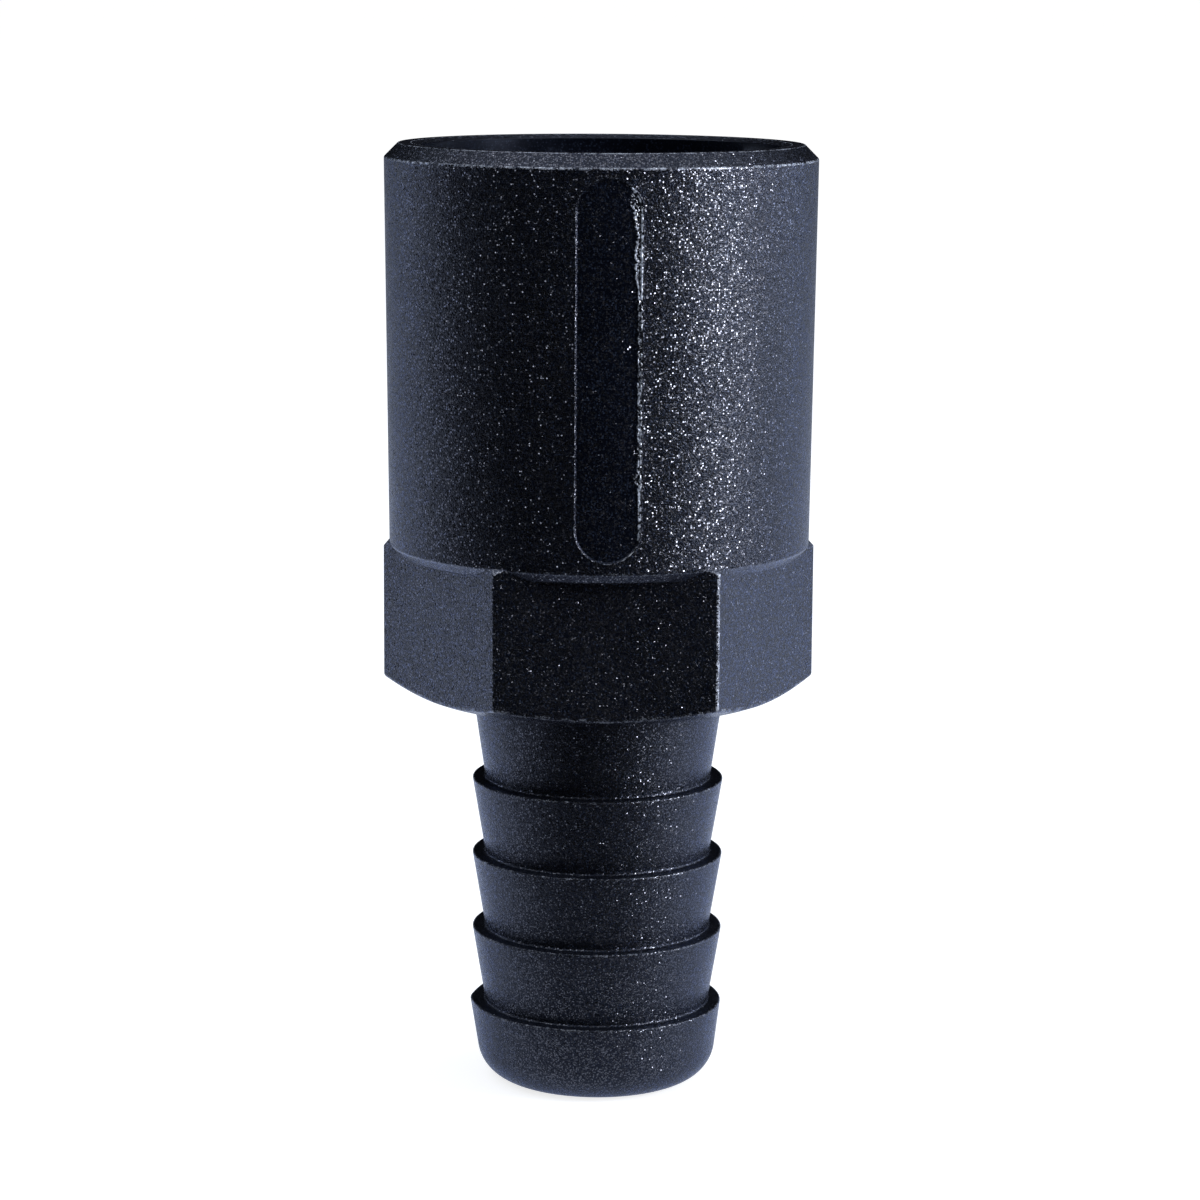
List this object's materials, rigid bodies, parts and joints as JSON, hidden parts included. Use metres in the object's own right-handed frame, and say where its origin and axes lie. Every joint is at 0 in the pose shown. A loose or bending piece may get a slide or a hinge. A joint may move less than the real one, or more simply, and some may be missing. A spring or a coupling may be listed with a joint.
{
  "type": "hose barb female adapter",
  "caption": "Black plastic pipe fitting that joins a hose to a male pipe thread: a long drafted socket threaded inside, a wrench hexagon and a barbed hose tail, with a through bore.",
  "frame": {"origin": "centre of the foot, the flat ring at the open end of the hose tail", "axes": "+Z along the fitting's axis from the hose tail to the socket's rim; the smooth panel and one wrench flat face -Y; two hexagon corners lie at +X and -X"},
  "size_m": [0.0254, 0.0252, 0.0557],
  "materials": {
    "black_plastic": "matte, fine spark-eroded grain, smooth panel on the front of the socket"
  },
  "bodies": {
    "root": {"adapter_body": "black_plastic"}
  },
  "joints": []
}
